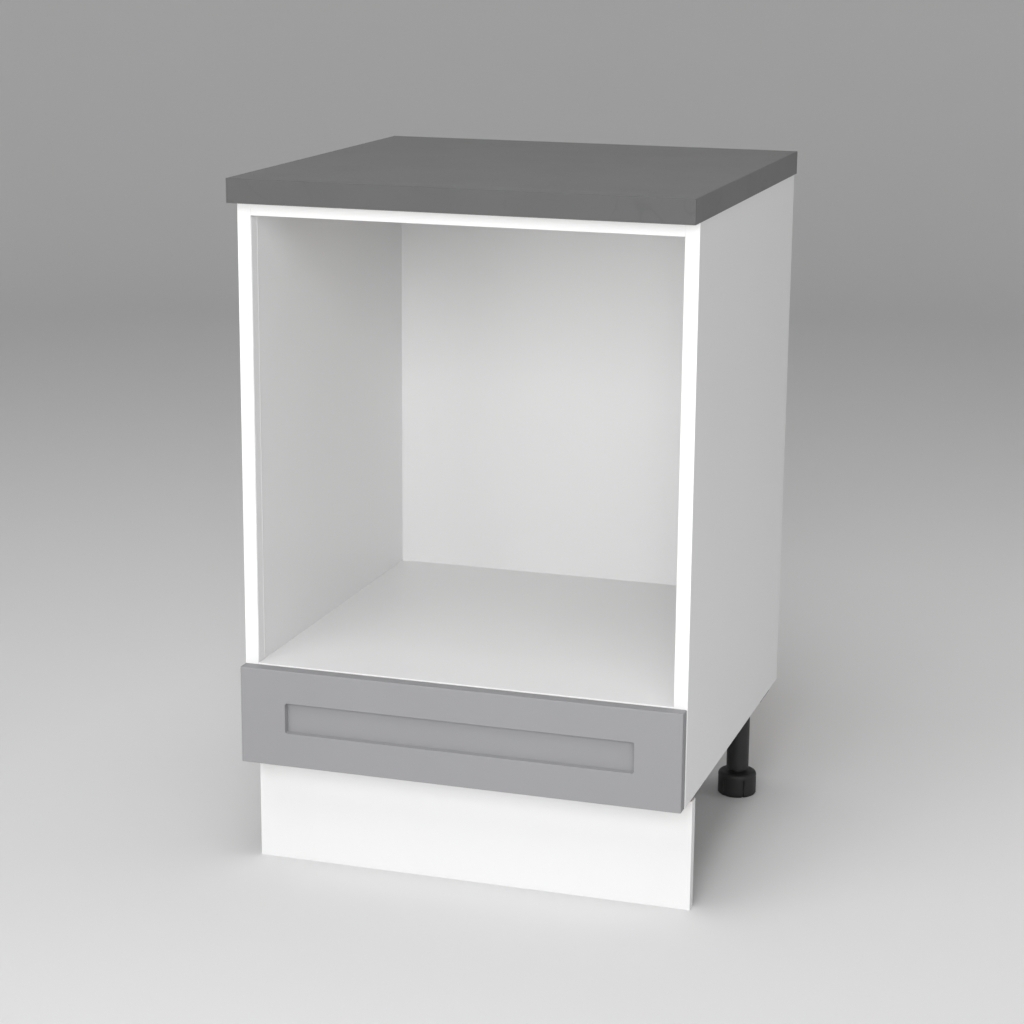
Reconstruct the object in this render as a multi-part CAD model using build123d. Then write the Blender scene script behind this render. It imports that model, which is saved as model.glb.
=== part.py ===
from build123d import *
import os
from math import floor, sqrt

# Oven base cabinet: a frameless board unit with an open oven niche above one drawer, under a
# laminate worktop, on four adjustable legs behind a plinth that clips to the front pair.
# Millimetres, X across, Y from the front to the back, Z up. The origin is on the floor under
# the middle of the worktop. Right-hand pieces are modelled and the left-hand ones mirrored.

# Worktop
worktop_width = 600.0
worktop_depth = 600.0
worktop_thickness = 31.0
worktop_overhang = 30.0
worktop_side_overhang = 1.5
worktop_rear_gap = 10.0
strip_thickness = 1.0
strip_bevel = 0.4

# Carcass of white boards
carcass_width = worktop_width - 2 * worktop_side_overhang
carcass_depth = worktop_depth - worktop_overhang - worktop_rear_gap
carcass_height = 738.0
carcass_lift = 154.0
board = 18.0
edge_band = 1.0
band_bevel = 0.4
rail_depth = 100.0
back_thickness = 3.0
back_inset = 10.0
back_groove_depth = 8.5
floor_groove_depth = 6.5
groove_play = 0.2

# Heat guard strips just inside the niche
guard_width = 20.0
guard_thickness = 1.0
guard_setback = 1.0
guard_end_gap = 3.0
guard_bevel = 0.3

# Drawer front, one milled board
front_side_gap = 0.5
front_width = carcass_width - 2 * front_side_gap
front_height = 131.0
front_thickness = 18.0
front_gap = 2.0
front_reveal = 1.0
front_edge_radius = 1.5
stile_width = 62.3
rail_width_low = 45.6
rail_width_high = 44.3
recess_depth = 5.5
recess_bevel = 1.2
recess_corner = 1.6

# Drawer box
side_gap = 12.5
drawer_board = 16.0
lift_room = 17.8
drawer_floor = 3.0
drawer_floor_height = 10.0
drawer_groove_depth = 6.0
drawer_floor_play = 0.5

# Roller runners, folded from sheet, one member on the cabinet and one on the drawer
runner_step = 50.0
runner_rear_room = 40.0
runner_setback = 2.0
sheet = 1.2
inner_bend = 0.8
track_width = 10.2
track_height_over_floor = 8.0
track_rise = 1.0
flange_gap = 0.8
shelf_flange = 13.2
roller_radius = 8.0
roller_width = 6.5
roller_play = 0.3
roller_rim = 1.6
roller_dish = 1.4
roller_end = 12.0
pin_radius = 2.0
pin_play = 0.05
pin_shoulder = 3.4
pin_head = 3.3
pin_head_thickness = 0.9
pin_end_play = 0.2
travel_loss_share = 0.25
stop_height = 5.0
notch_length = 22.0

# Glued dowel joints
dowel_radius = 4.0
dowel_length = 30.0
dowel_seat = 10.0
dowel_inset = 50.0
dowels_per_board = 3
rail_dowel_inset = 20.0
drawer_dowel_spacing = 32.0

# Adjustable legs
leg_side_inset = 38.5
leg_rear_inset = 74.0
plate_size = 74.0
plate_thickness = 4.0
plate_corner = 8.0
socket_wall = 3.0
socket_height = 25.0
rib_thickness = 2.5
rib_height = 16.0
rib_reach = 28.0
tube_radius = 16.0
tube_wall = 4.0
leg_play = 0.05
foot_radius = 27.5
foot_height = 34.0
foot_shoulder = 5.0
foot_gap = 4.0
stem_length = 48.0
notch_width = 2.4
notch_depth = 1.6
notch_height = 26.0
notch_count = 6

# Plinth and its clips
plinth_top_gap = 1.0
plinth_thickness = 16.0
plinth_setback = 40.0
plinth_foot_gap = 4.5
plinth_bevel = 0.5
clip_base_width = 36.0
clip_base_height = 44.0
clip_base_thickness = 3.0
clip_jaw_height = 14.0
clip_jaw_wall = 3.0
clip_jaw_past = 7.0
clip_play = 0.3

# Shared
joint_play = 0.05
seat_play = 0.5
overrun = 1.0

# Planes that the pieces share
carcass_front = worktop_overhang - worktop_depth / 2
carcass_back = carcass_front + carcass_depth
carcass_top = carcass_lift + carcass_height
board_front = carcass_front + edge_band
side_outer = carcass_width / 2
side_inner = side_outer - board
bottom_top = carcass_lift + board
niche_floor_top = carcass_lift + front_height + front_reveal
niche_floor_bottom = niche_floor_top - board
niche_top = carcass_top - board
back_face = carcass_back - back_inset - back_thickness
front_back_face = carcass_front - front_gap
front_face = front_back_face - front_thickness

# Drawer box and runners
drawer_front_end = front_back_face
runner_room = back_face - carcass_front - runner_rear_room
runner_length = runner_step * floor(runner_room / runner_step)
drawer_back_end = drawer_front_end + runner_length
drawer_outer = side_inner - side_gap
drawer_inner = drawer_outer - drawer_board
track_bottom = bottom_top + track_height_over_floor
track_height = 2 * (sheet + roller_radius + roller_play)
shelf_underside = track_bottom + track_rise
drawer_bottom_edge = shelf_underside + sheet
drawer_top_edge = niche_floor_bottom - lift_room
drawer_floor_bottom = drawer_bottom_edge + drawer_floor_height
drawer_floor_top = drawer_floor_bottom + drawer_floor
flange_underside = track_bottom + track_height + flange_gap
member_front = carcass_front + runner_setback
member_back = member_front + runner_length
slide_front = drawer_front_end + runner_setback
travel = runner_length * (1 - travel_loss_share)
roller_centre_across = side_inner - side_gap / 2
rear_roller_y = drawer_back_end - roller_end
rear_roller_z = track_bottom + sheet + roller_play + roller_radius
front_roller_y = member_front + roller_end
front_roller_z = flange_underside - roller_play - roller_radius
pin_shoulder_length = (side_gap - roller_width) / 2 - pin_end_play

# Legs and plinth
leg_x = side_outer - leg_side_inset
plinth_face = carcass_front + plinth_setback
plinth_back = plinth_face + plinth_thickness
leg_front_y = plinth_back + plinth_foot_gap + foot_radius
leg_rear_y = carcass_back - leg_rear_inset
plinth_height = carcass_lift - plate_thickness - plinth_top_gap
socket_low = carcass_lift - plate_thickness - socket_height
clip_height = (foot_height + stem_length + socket_low) / 2
leg_places = {
    "front_left": (-leg_x, leg_front_y),
    "front_right": (leg_x, leg_front_y),
    "rear_left": (-leg_x, leg_rear_y),
    "rear_right": (leg_x, leg_rear_y),
}

RIGHT = (1, 0, 0)
LEFT = (-1, 0, 0)
FORWARD = (0, -1, 0)
BACKWARD = (0, 1, 0)


def block(x, y, z):
    """A box between a low and a high value on each axis."""
    ranges = (x, y, z)
    size = [high - low for low, high in ranges]
    centre = [(high + low) / 2 for low, high in ranges]
    return Pos(*centre) * Box(*size)


def turned(outline):
    """A solid turned about Z from its (radius, height) outline."""
    points = [(radius, 0, height) for radius, height in outline]
    return revolve(make_face(Polyline(*points, close=True)), Axis.Z)


def place(shape, x, y, z, facing):
    """Puts a shape made along Z at a point, with its upper end looking the given way."""
    return Plane((x, y, z), z_dir=facing) * shape


def both_sides(shapes):
    """Right-hand shapes with their mirror images on the left."""
    return list(shapes) + [mirror(shape, Plane.YZ) for shape in shapes]


def less(solid, cutters):
    """A solid with each cutter taken out of it."""
    for cutter in cutters:
        solid = solid - cutter
    return solid


def hole(radius, depth):
    """A round cutter down from height zero, with some overrun above it."""
    height = depth + overrun
    return Pos(0, 0, overrun - height / 2) * Cylinder(radius, height)


# Dowelled joints between the boards that lie flat and the side panels


def spread(low, high, count):
    """Evenly spaced places from a low to a high one."""
    step = (high - low) / (count - 1)
    return [low + index * step for index in range(count)]


def dowel_rows():
    """For each board between the sides: its middle height and its dowels from front to back."""
    first = carcass_front + dowel_inset
    bottom_row = spread(first, carcass_back - dowel_inset, dowels_per_board)
    floor_row = spread(first, back_face - dowel_inset, dowels_per_board)
    front_rail_row = [carcass_front + rail_dowel_inset, carcass_front + rail_depth - rail_dowel_inset]
    rear_rail_row = [back_face - rail_depth + rail_dowel_inset, back_face - rail_dowel_inset]
    rail_middle = carcass_top - board / 2
    return {
        "bottom_panel": (carcass_lift + board / 2, bottom_row),
        "niche_floor": (niche_floor_top - board / 2, floor_row),
        "top_rail_front": (rail_middle, front_rail_row),
        "top_rail_rear": (rail_middle, rear_rail_row),
    }


def dowel():
    """Beech dowel, its seat below height zero."""
    return Pos(0, 0, dowel_length / 2 - dowel_seat) * Cylinder(dowel_radius, dowel_length)


def dowel_seat_hole():
    """Shallow hole for a dowel's seat, in the face of a board."""
    return hole(dowel_radius + joint_play, dowel_seat + seat_play)


def dowel_end_hole():
    """Deep hole for a dowel, in the end of a board."""
    return hole(dowel_radius + joint_play, dowel_length - dowel_seat + seat_play)


def carcass_dowels():
    """Dowels of all carcass joints."""
    rows = dowel_rows().values()
    return both_sides([place(dowel(), side_inner, y, z, LEFT) for z, row in rows for y in row])


def board_end_holes(name):
    """Dowel holes in both ends of one flat board."""
    z, row = dowel_rows()[name]
    return both_sides([place(dowel_end_hole(), side_inner, y, z, RIGHT) for y in row])


def side_panel_dowel_holes():
    """Dowel holes in the inner face of the right side panel."""
    rows = dowel_rows().values()
    return [place(dowel_seat_hole(), side_inner, y, z, LEFT) for z, row in rows for y in row]


# Legs


def leg_plate(x, y):
    """Moulded plate with a round socket that four ribs brace."""
    half = plate_size / 2
    low = carcass_lift - plate_thickness
    plate = block((x - half, x + half), (y - half, y + half), (low, carcass_lift))
    plate = fillet(plate.edges().filter_by(Axis.Z), plate_corner)
    outer = tube_radius + leg_play + socket_wall
    socket = Pos(x, y, low - socket_height / 2) * Cylinder(outer, socket_height)
    root = outer - socket_wall / 2
    rib_face = make_face(Polyline((root, 0), (rib_reach, 0), (root, -rib_height), close=True))
    rib = extrude(Plane.XZ * rib_face, rib_thickness / 2, both=True)
    body = plate + socket
    for turn in (0, 90, 180, 270):
        body = body + Pos(x, y, low) * Rot(0, 0, turn) * rib
    bore_height = socket_height + overrun
    bore = Pos(x, y, low - bore_height / 2) * Cylinder(tube_radius + leg_play, bore_height)
    return body - bore


def leg_tube(x, y):
    """Plain tube from its socket down to just above the foot."""
    low = foot_height + foot_gap
    high = carcass_lift - plate_thickness
    inner = tube_radius - tube_wall
    tube = turned([(inner, low), (tube_radius, low), (tube_radius, high), (inner, high)])
    return Pos(x, y, 0) * tube


def leg_foot(x, y):
    """Round foot with notches for a wrench, and the stem that screws into the tube."""
    stem = tube_radius - tube_wall - leg_play
    top = foot_height + stem_length
    outline = [
        (0, 0),
        (foot_radius, 0),
        (foot_radius, foot_height - foot_shoulder),
        (foot_radius - foot_shoulder, foot_height),
        (stem, foot_height),
        (stem, top),
        (0, top),
    ]
    foot = turned(outline)
    notch_x = (foot_radius - notch_depth, foot_radius + overrun)
    notch = block(notch_x, (-notch_width / 2, notch_width / 2), (-overrun, notch_height))
    turns = [index * 360 / notch_count for index in range(notch_count)]
    foot = less(foot, [Rot(0, 0, turn) * notch for turn in turns])
    return Pos(x, y, 0) * foot


# Worktop


def worktop():
    """Laminate-faced board inside its edge strips."""
    x = worktop_width / 2 - strip_thickness
    y = (strip_thickness - worktop_depth / 2, worktop_depth / 2)
    return block((-x, x), y, (carcass_top, carcass_top + worktop_thickness))


def worktop_edge_strips():
    """Laminate strips: one along the front edge and one on each end behind it."""
    x = worktop_width / 2
    front = -worktop_depth / 2
    z = (carcass_top, carcass_top + worktop_thickness)
    front_strip = block((-x, x), (front, front + strip_thickness), z)
    front_edges = front_strip.edges().group_by(Axis.Y)[0]
    front_strip = chamfer(front_edges, strip_bevel)
    end_strip = block((x - strip_thickness, x), (front + strip_thickness, worktop_depth / 2), z)
    outer_edges = end_strip.edges().filter_by(Axis.Y).group_by(Axis.X)[-1]
    end_strip = chamfer(outer_edges, strip_bevel)
    return [front_strip] + both_sides([end_strip])


# Carcass boards


def back_groove(width_outer):
    """The space of the back panel with play on its two faces."""
    y = (back_face, back_face + back_thickness + groove_play)
    z = (bottom_top - floor_groove_depth, carcass_top + overrun)
    return block((-width_outer, width_outer), y, z)


def side_panel_right():
    """Full-height side with the dowel holes and the back panel's groove in its inner face."""
    panel = block((side_inner, side_outer), (board_front, carcass_back), (carcass_lift, carcass_top))
    return less(panel, side_panel_dowel_holes() + [back_groove(side_inner + back_groove_depth)])


def bottom_panel():
    """Bottom between the sides, grooved for the back panel."""
    panel = block((-side_inner, side_inner), (board_front, carcass_back), (carcass_lift, bottom_top))
    return less(panel, board_end_holes("bottom_panel") + [back_groove(side_inner + overrun)])


def niche_floor():
    """Board that the oven stands on, up to the back panel."""
    panel = block((-side_inner, side_inner), (board_front, back_face), (niche_floor_bottom, niche_floor_top))
    return less(panel, board_end_holes("niche_floor"))


def top_rail(name, y):
    """Flat rail between the sides that carries the worktop."""
    rail = block((-side_inner, side_inner), y, (niche_top, carcass_top))
    return less(rail, board_end_holes(name))


def back_panel():
    """Thin white board in the grooves of the sides and the bottom."""
    x = side_inner + back_groove_depth - seat_play
    z = (bottom_top - floor_groove_depth + seat_play, carcass_top)
    return block((-x, x), (back_face, back_face + back_thickness), z)


def edge_bands():
    """White edging on the front edges: both sides, bottom, niche floor and front rail."""
    y = (carcass_front, board_front)
    side_band = block((side_inner, side_outer), y, (carcass_lift, carcass_top))
    side_band = chamfer(side_band.edges().filter_by(Axis.Z).group_by(Axis.Y)[0], band_bevel)
    across = (-side_inner, side_inner)
    heights = [
        (carcass_lift, bottom_top),
        (niche_floor_bottom, niche_floor_top),
        (niche_top, carcass_top),
    ]
    bands = both_sides([side_band])
    for z in heights:
        band = block(across, y, z)
        bands.append(chamfer(band.edges().filter_by(Axis.X).group_by(Axis.Y)[0], band_bevel))
    return bands


def heat_guard_right():
    """Thin strip up the inner face of the niche, close behind the front edge."""
    x = (side_inner - guard_thickness, side_inner)
    y = (carcass_front + guard_setback, carcass_front + guard_setback + guard_width)
    z = (niche_floor_top + guard_end_gap, niche_top - guard_end_gap)
    strip = block(x, y, z)
    return chamfer(strip.edges().filter_by(Axis.Z).group_by(Axis.X)[0], guard_bevel)


# Drawer


def drawer_front():
    """One board with a milled field, rounded outer edges and the seats of the box."""
    half = front_width / 2
    low = carcass_lift
    high = carcass_lift + front_height
    body = block((-half, half), (front_face, front_back_face), (low, high))
    body = fillet(body.edges().group_by(Axis.Y)[0], front_edge_radius)
    field_x = half - stile_width
    field_z = (low + rail_width_low, high - rail_width_high)
    field = block((-field_x, field_x), (front_face - overrun, front_face + recess_depth), field_z)
    field = fillet(field.edges().filter_by(Axis.Y), recess_corner)
    body = body - field
    rim = body.faces().sort_by(Axis.Y)[0].inner_wires()[0].edges()
    body = chamfer(rim, recess_bevel)
    floor_x = drawer_inner + drawer_groove_depth
    floor_y = (front_back_face - drawer_groove_depth, front_back_face + overrun)
    groove = block((-floor_x, floor_x), floor_y, drawer_floor_groove_heights())
    seats = [place(dowel_seat_hole(), x, front_back_face, z, BACKWARD) for x, z in drawer_dowel_places()]
    return less(body, both_sides(seats) + [groove])


def drawer_floor_groove_heights():
    """Heights between which the drawer floor's grooves run."""
    return (drawer_floor_bottom, drawer_floor_top + groove_play)


def drawer_dowel_places():
    """Across and up, the two dowels between the drawer front and the right side."""
    x = drawer_outer - drawer_board / 2
    middle = (drawer_floor_top + drawer_top_edge) / 2
    offset = drawer_dowel_spacing / 2
    return [(x, middle - offset), (x, middle + offset)]


def drawer_side_right():
    """Side of the drawer box with its floor groove and the dowel holes of its front end."""
    x = (drawer_inner, drawer_outer)
    panel = block(x, (drawer_front_end, drawer_back_end), (drawer_bottom_edge, drawer_top_edge))
    low_outer_edge = panel.edges().filter_by(Axis.Y).group_by(Axis.Z)[0].sort_by(Axis.X)[-1]
    panel = chamfer(low_outer_edge, inner_bend)
    groove_x = (drawer_inner - overrun, drawer_inner + drawer_groove_depth)
    groove_y = (drawer_front_end - overrun, drawer_back_end + overrun)
    cuts = [block(groove_x, groove_y, drawer_floor_groove_heights())]
    for across, z in drawer_dowel_places():
        cuts.append(place(dowel_end_hole(), across, drawer_front_end, z, FORWARD))
    return less(panel, cuts)


def drawer_dowels():
    """Dowels between the drawer front and the sides."""
    places = drawer_dowel_places()
    return both_sides([place(dowel(), x, front_back_face, z, BACKWARD) for x, z in places])


def drawer_back():
    """Rear board between the drawer sides, grooved for the drawer floor."""
    y = (drawer_back_end - drawer_board, drawer_back_end)
    panel = block((-drawer_inner, drawer_inner), y, (drawer_bottom_edge, drawer_top_edge))
    groove_y = (y[0] - overrun, y[0] + drawer_groove_depth)
    x = drawer_inner + overrun
    groove = block((-x, x), groove_y, drawer_floor_groove_heights())
    return panel - groove


def drawer_floor_panel():
    """Thin white floor held in grooves on all four sides."""
    x = drawer_inner + drawer_groove_depth - drawer_floor_play
    y_low = front_back_face - drawer_groove_depth + drawer_floor_play
    y_high = drawer_back_end - drawer_board + drawer_groove_depth - drawer_floor_play
    return block((-x, x), (y_low, y_high), (drawer_floor_bottom, drawer_floor_top))


# Roller runners


def folded_sheet(path, bends, start, end):
    """Sheet folded along a path of (x, z) points, on the left of the path, from start to end."""
    line = FilletPolyline(*path, radius=bends)
    section = make_face(Wire(line.edges()).offset_2d(sheet, side=Side.LEFT).edges())
    return extrude(Plane.XZ.offset(-end) * section, end - start, dir=(0, -1, 0))


def roller_pin_hole(x, y, z, facing):
    """Hole in the sheet for the shoulder of a roller's pin."""
    cutter = Cylinder(pin_shoulder + pin_play, 2 * (sheet + overrun))
    return place(cutter, x, y, z, facing)


def cabinet_track_right():
    """Channel on the side panel: the drawer's roller runs in it, up to a folded stop."""
    outer_bend = inner_bend + sheet
    top = track_bottom + track_height
    lip = side_inner - track_width
    path = [(lip, track_bottom), (side_inner, track_bottom), (side_inner, top), (lip, top)]
    track = folded_sheet(path, outer_bend, member_front, member_back)
    notch_x = (lip - overrun, side_inner - outer_bend)
    notch_z = (top - outer_bend, top + overrun)
    notch = block(notch_x, (member_front - overrun, member_front + notch_length), notch_z)
    pin = roller_pin_hole(side_inner, front_roller_y, front_roller_z, RIGHT)
    return less(track, [notch, pin]) + roller_stop_right()


def roller_stop_right():
    """Tab up from the track's floor that the drawer's roller meets when fully out."""
    tab_top = track_bottom + sheet + stop_height
    drop = rear_roller_z - tab_top
    reach = sqrt(roller_radius**2 - drop**2) + roller_play
    back = rear_roller_y - travel - reach
    x = (side_inner - track_width, side_inner - outer_web())
    return block(x, (back - sheet, back), (track_bottom + sheet / 2, tab_top))


def outer_web():
    """How far the track's bend reaches in from the side panel."""
    return sheet + inner_bend


def drawer_slide_right():
    """Z-shaped member: a flange under the drawer side, a web, and a flange over the rollers."""
    web = drawer_outer + sheet
    shelf_end = web - shelf_flange
    flange_end = roller_centre_across + roller_width / 2
    path = [
        (shelf_end, shelf_underside),
        (web, shelf_underside),
        (web, flange_underside),
        (flange_end, flange_underside),
    ]
    member = folded_sheet(path, [inner_bend + sheet, inner_bend], slide_front, drawer_back_end)
    pin = roller_pin_hole(web, rear_roller_y, rear_roller_z, LEFT)
    return member - pin


def roller_pin():
    """Riveted pin from the sheet's far face at height zero: shoulder, axle and head."""
    axle_end = pin_shoulder_length + roller_width + 2 * pin_end_play
    head_end = axle_end + pin_head_thickness
    outline = [
        (0, 0),
        (pin_shoulder, 0),
        (pin_shoulder, pin_shoulder_length),
        (pin_radius, pin_shoulder_length),
        (pin_radius, axle_end),
        (pin_head, axle_end),
        (pin_head, head_end),
        (0, head_end),
    ]
    return turned(outline)


def roller():
    """Nylon roller about Z, dished on both faces inside its rim."""
    bore = pin_radius + pin_play
    half = roller_width / 2
    web = half - roller_dish
    rim = roller_radius - roller_rim
    half_outline = [
        (bore, web),
        (rim, web),
        (rim, half),
        (roller_radius, half),
    ]
    mirrored = [(radius, -height) for radius, height in reversed(half_outline)]
    return turned(half_outline + mirrored)


def front_roller_right():
    """Roller at the front of the cabinet's track, under the drawer's flange."""
    return place(roller(), roller_centre_across, front_roller_y, front_roller_z, RIGHT)


def rear_roller_right():
    """Roller at the back of the drawer's member, inside the cabinet's track."""
    return place(roller(), roller_centre_across, rear_roller_y, rear_roller_z, RIGHT)


def cabinet_roller_pins():
    """Pins of the front rollers."""
    return both_sides([place(roller_pin(), side_inner, front_roller_y, front_roller_z, LEFT)])


def drawer_roller_pins():
    """Pins of the rear rollers."""
    return both_sides([place(roller_pin(), drawer_outer, rear_roller_y, rear_roller_z, RIGHT)])


# Plinth


def plinth():
    """Board that stands on the floor under the drawer front."""
    x = carcass_width / 2
    panel = block((-x, x), (plinth_face, plinth_back), (0, plinth_height))
    return chamfer(panel.edges().group_by(Axis.Y)[0].filter_by(Axis.X), plinth_bevel)


def plinth_clip(x):
    """Moulded clip on the back of the plinth, its open jaw round a front leg's tube."""
    base_back = plinth_back + clip_base_thickness
    half_base = clip_base_width / 2
    base_z = (clip_height - clip_base_height / 2, clip_height + clip_base_height / 2)
    base = block((x - half_base, x + half_base), (plinth_back, base_back), base_z)
    jaw_z = (clip_height - clip_jaw_height / 2, clip_height + clip_jaw_height / 2)
    inner = tube_radius + clip_play
    outer = inner + clip_jaw_wall
    open_end = leg_front_y + clip_jaw_past
    jaw = block((x - outer, x + outer), (plinth_back, open_end), jaw_z)
    jaw = fillet(jaw.edges().filter_by(Axis.Z).group_by(Axis.Y)[-1], clip_jaw_wall / 3)
    seat_height = clip_jaw_height + 2 * overrun
    seat = Pos(x, leg_front_y, clip_height) * Cylinder(inner, seat_height)
    mouth_z = (jaw_z[0] - overrun, jaw_z[1] + overrun)
    mouth = block((x - inner, x + inner), (leg_front_y, open_end + overrun), mouth_z)
    return less(base + jaw, [seat, mouth])


def plinth_clips():
    """One clip behind each end of the plinth."""
    return [plinth_clip(-leg_x), plinth_clip(leg_x)]


# All nodes


def nodes():
    """Every named piece of the cabinet, or group of like pieces."""
    rear_rail_y = (back_face - rail_depth, back_face)
    pieces = {
        "worktop": worktop(),
        "worktop_edge_strips": worktop_edge_strips(),
        "bottom_panel": bottom_panel(),
        "niche_floor": niche_floor(),
        "top_rail_front": top_rail("top_rail_front", (board_front, carcass_front + rail_depth)),
        "top_rail_rear": top_rail("top_rail_rear", rear_rail_y),
        "back_panel": back_panel(),
        "edge_bands": edge_bands(),
        "carcass_dowels": carcass_dowels(),
        "cabinet_roller_pins": cabinet_roller_pins(),
        "drawer_front": drawer_front(),
        "drawer_back": drawer_back(),
        "drawer_floor": drawer_floor_panel(),
        "drawer_dowels": drawer_dowels(),
        "drawer_roller_pins": drawer_roller_pins(),
        "plinth": plinth(),
        "plinth_clips": plinth_clips(),
    }
    handed = {
        "side_panel": side_panel_right(),
        "heat_guard": heat_guard_right(),
        "drawer_side": drawer_side_right(),
        "cabinet_track": cabinet_track_right(),
        "drawer_slide": drawer_slide_right(),
        "front_roller": front_roller_right(),
        "rear_roller": rear_roller_right(),
    }
    for name, shape in handed.items():
        pieces[name + "_right"] = shape
        pieces[name + "_left"] = mirror(shape, Plane.YZ)
    for corner, (x, y) in leg_places.items():
        pieces["leg_plate_" + corner] = leg_plate(x, y)
        pieces["leg_tube_" + corner] = leg_tube(x, y)
        pieces["leg_foot_" + corner] = leg_foot(x, y)
    return pieces


def write(name, shape):
    """Writes one node as a STEP file, a group as its separate solids."""
    if isinstance(shape, list):
        shape = Compound(children=[solid for piece in shape for solid in piece.solids()])
    export_step(shape, "parts/" + name + ".step")


os.makedirs("parts", exist_ok=True)
for node, piece in nodes().items():
    write(node, piece)
print("drawer travel", travel, "roller radius", roller_radius)
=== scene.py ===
import math

import bpy
import numpy as np
from mathutils import Matrix, Vector


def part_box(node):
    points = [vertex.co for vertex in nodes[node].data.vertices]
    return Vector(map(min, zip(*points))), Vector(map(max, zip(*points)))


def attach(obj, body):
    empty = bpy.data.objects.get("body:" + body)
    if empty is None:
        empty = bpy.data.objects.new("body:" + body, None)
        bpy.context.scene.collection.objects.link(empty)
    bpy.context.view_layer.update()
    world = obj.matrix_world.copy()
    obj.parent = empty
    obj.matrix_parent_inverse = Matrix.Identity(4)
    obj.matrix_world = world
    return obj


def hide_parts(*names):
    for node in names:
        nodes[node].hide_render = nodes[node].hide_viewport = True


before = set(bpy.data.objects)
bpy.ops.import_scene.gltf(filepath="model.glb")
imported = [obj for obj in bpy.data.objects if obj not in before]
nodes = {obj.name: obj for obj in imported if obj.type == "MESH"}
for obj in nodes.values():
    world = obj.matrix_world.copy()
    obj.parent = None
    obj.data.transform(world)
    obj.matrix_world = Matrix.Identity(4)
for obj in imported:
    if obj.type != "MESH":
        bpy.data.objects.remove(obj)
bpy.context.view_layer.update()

# Camera: a long lens a little above the worktop, to the right of the drawer, as in the photograph.
# Its place was worked out from the cabinet's corners, with the picture's centre on the lens axis.
camera_place = Vector((0.970, -3.111, 1.264))
camera_yaw, camera_pitch, camera_roll = math.radians(17.63), math.radians(14.03), math.radians(-0.45)
camera_lens = 86.5
camera_data = bpy.data.cameras.new("camera")
camera_data.lens = camera_lens
camera_data.sensor_width = 36.0
camera_data.clip_end = 60.0
camera = bpy.data.objects.new("camera", camera_data)
bpy.context.scene.collection.objects.link(camera)
aim = Matrix.Rotation(camera_yaw, 4, "Z") @ Matrix.Rotation(math.pi / 2 - camera_pitch, 4, "X")
camera.matrix_world = Matrix.Translation(camera_place) @ aim @ Matrix.Rotation(-camera_roll, 4, "Z")
bpy.context.scene.camera = camera


# Worktop: particleboard under a stone-look grey laminate, with a paper liner below and a bare rear
# edge. Laminate strips of the same print are glued to its front edge and both ends and trimmed flush,
# and the worktop is screwed on from below through the rails. The front strip is made darker than the
# top as painted shade, and the end strips are kept lighter than it as painted sheen.


class Wire:
    """A socket in a material's node tree. Arithmetic on it adds Math nodes, and node() adds any other."""

    def __init__(self, tree, socket=None):
        self.tree = tree
        self.socket = socket

    def node(self, kind, settings=(), sockets=(), output=0):
        made = self.tree.nodes.new(kind)
        for name, value in dict(settings).items():
            setattr(made, name, value)
        for key, value in dict(sockets).items():
            if isinstance(value, Wire):
                self.tree.links.new(value.socket, made.inputs[key])
            else:
                made.inputs[key].default_value = value
        return Wire(self.tree, made.outputs[output] if made.outputs else None)

    def math(self, operation, first, second=0.0):
        return self.node("ShaderNodeMath", {"operation": operation}, {0: first, 1: second})

    def __add__(self, other):
        return self.math("ADD", self, other)

    def __radd__(self, other):
        return self.math("ADD", other, self)

    def __sub__(self, other):
        return self.math("SUBTRACT", self, other)

    def __rsub__(self, other):
        return self.math("SUBTRACT", other, self)

    def __mul__(self, other):
        return self.math("MULTIPLY", self, other)

    def __rmul__(self, other):
        return self.math("MULTIPLY", other, self)

    def __gt__(self, other):
        return self.math("GREATER_THAN", self, other)

    def __lt__(self, other):
        return self.math("LESS_THAN", self, other)

    def __abs__(self):
        return self.math("ABSOLUTE", self)

    def either(self, other):
        return self.math("MAXIMUM", self, other)

    def axes(self):
        return [self.node("ShaderNodeSeparateXYZ", (), {0: self}, axis) for axis in range(3)]

    def stretched(self, scale):
        return self.node("ShaderNodeMapping", (), {"Vector": self, "Scale": scale})

    def noise(self, scale, detail=2.0, rough=0.5, bend=0.0):
        sockets = {"Vector": self, "Scale": scale, "Detail": detail, "Roughness": rough, "Distortion": bend}
        return self.node("ShaderNodeTexNoise", (), sockets)

    def cells(self, scale, output="Color"):
        return self.node("ShaderNodeTexVoronoi", (), {"Vector": self, "Scale": scale}, output)

    def fade(self, low, high):
        """Zero below one value and one above another, smooth between them."""
        settings = {"interpolation_type": "SMOOTHSTEP"}
        return self.node("ShaderNodeMapRange", settings, {"Value": self, "From Min": low, "From Max": high})

    def blend(self, low, high):
        """A colour between two others, this number choosing."""
        return self.node("ShaderNodeMix", {"data_type": "RGBA"}, {0: self, 6: low, 7: high}, 2)

    def relief(self, depth, under=None):
        """A normal from this height, which runs from zero to one over a depth in metres."""
        sockets = {"Height": self, "Distance": depth, "Strength": 1.0}
        if under is not None:
            sockets["Normal"] = under
        return self.node("ShaderNodeBump", (), sockets)


def grey(value, blue=0.0):
    """A grey with a little more or less blue, and full alpha."""
    return (value, value, value + blue, 1.0)


def finish(name, build, **uniform):
    """A material. build(start, at) gives the sockets that vary over a surface, and the rest are set."""
    material = bpy.data.materials.new(name)
    material.use_nodes = True
    tree = material.node_tree
    tree.nodes.clear()
    start = Wire(tree)
    at = start.node("ShaderNodeTexCoord", output="Object")
    sockets = build(start, at)
    sockets.update({key.replace("_", " "): value for key, value in uniform.items()})
    surface = start.node("ShaderNodeBsdfPrincipled", (), sockets)
    start.node("ShaderNodeOutputMaterial", (), {"Surface": surface})
    return material


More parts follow.
